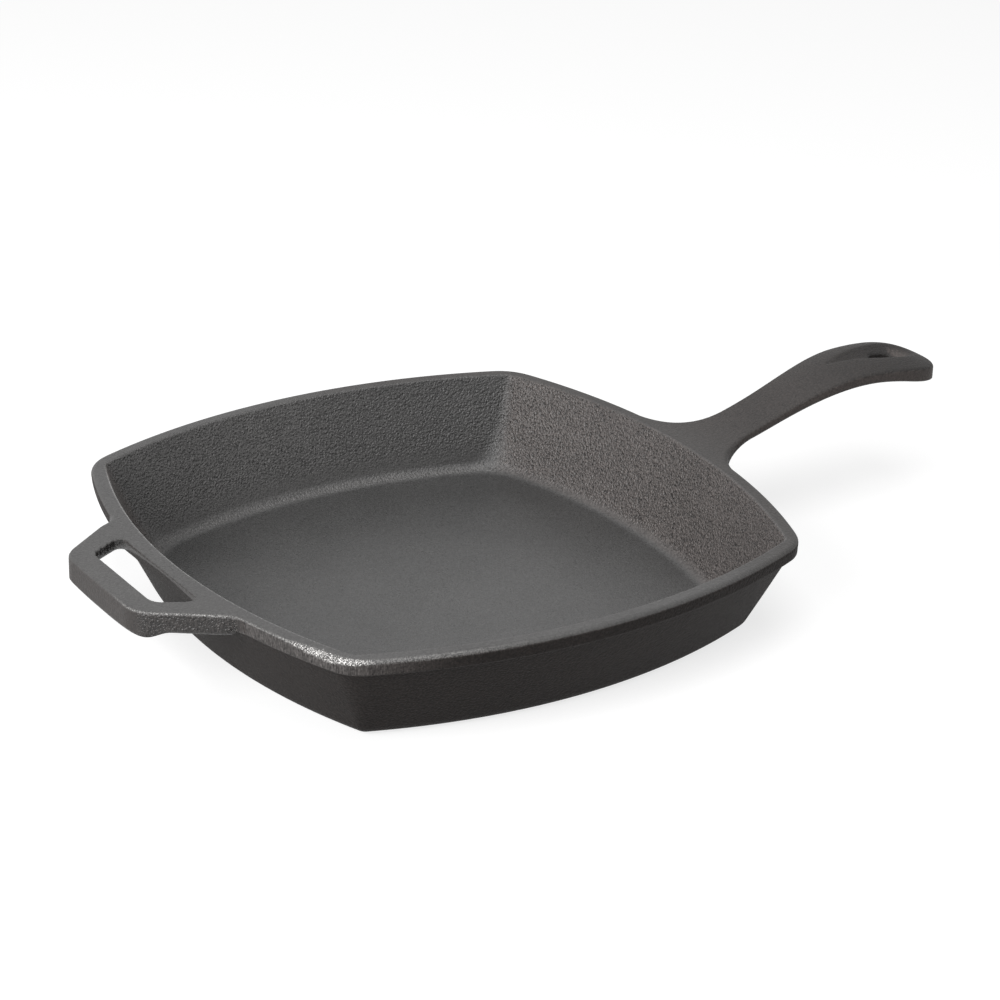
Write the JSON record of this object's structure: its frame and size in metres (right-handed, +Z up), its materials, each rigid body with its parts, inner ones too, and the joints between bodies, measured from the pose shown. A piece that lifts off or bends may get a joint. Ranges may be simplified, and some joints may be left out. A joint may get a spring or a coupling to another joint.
{
  "type": "frying pan",
  "caption": "square cast iron frying pan with bowed sides, an S-shaped long handle with a hanging hole and a looped helper handle",
  "frame": {"origin": "centre of the flat underside on which the pan stands", "axes": "+X along the long handle, +Y to the left of it, +Z up through the open top"},
  "size_m": [0.4486, 0.28, 0.0709],
  "materials": {
    "cast_iron": "seasoned dark grey sand casting with a coarse pebbled skin",
    "ground_iron": "seasoned dark grey iron, smoother where it was ground, with a fine grain"
  },
  "bodies": {
    "root": {"pan_floor": "ground_iron", "side_wall": "cast_iron", "rim": "ground_iron", "long_handle": "cast_iron", "helper_handle": "ground_iron"}
  },
  "joints": []
}
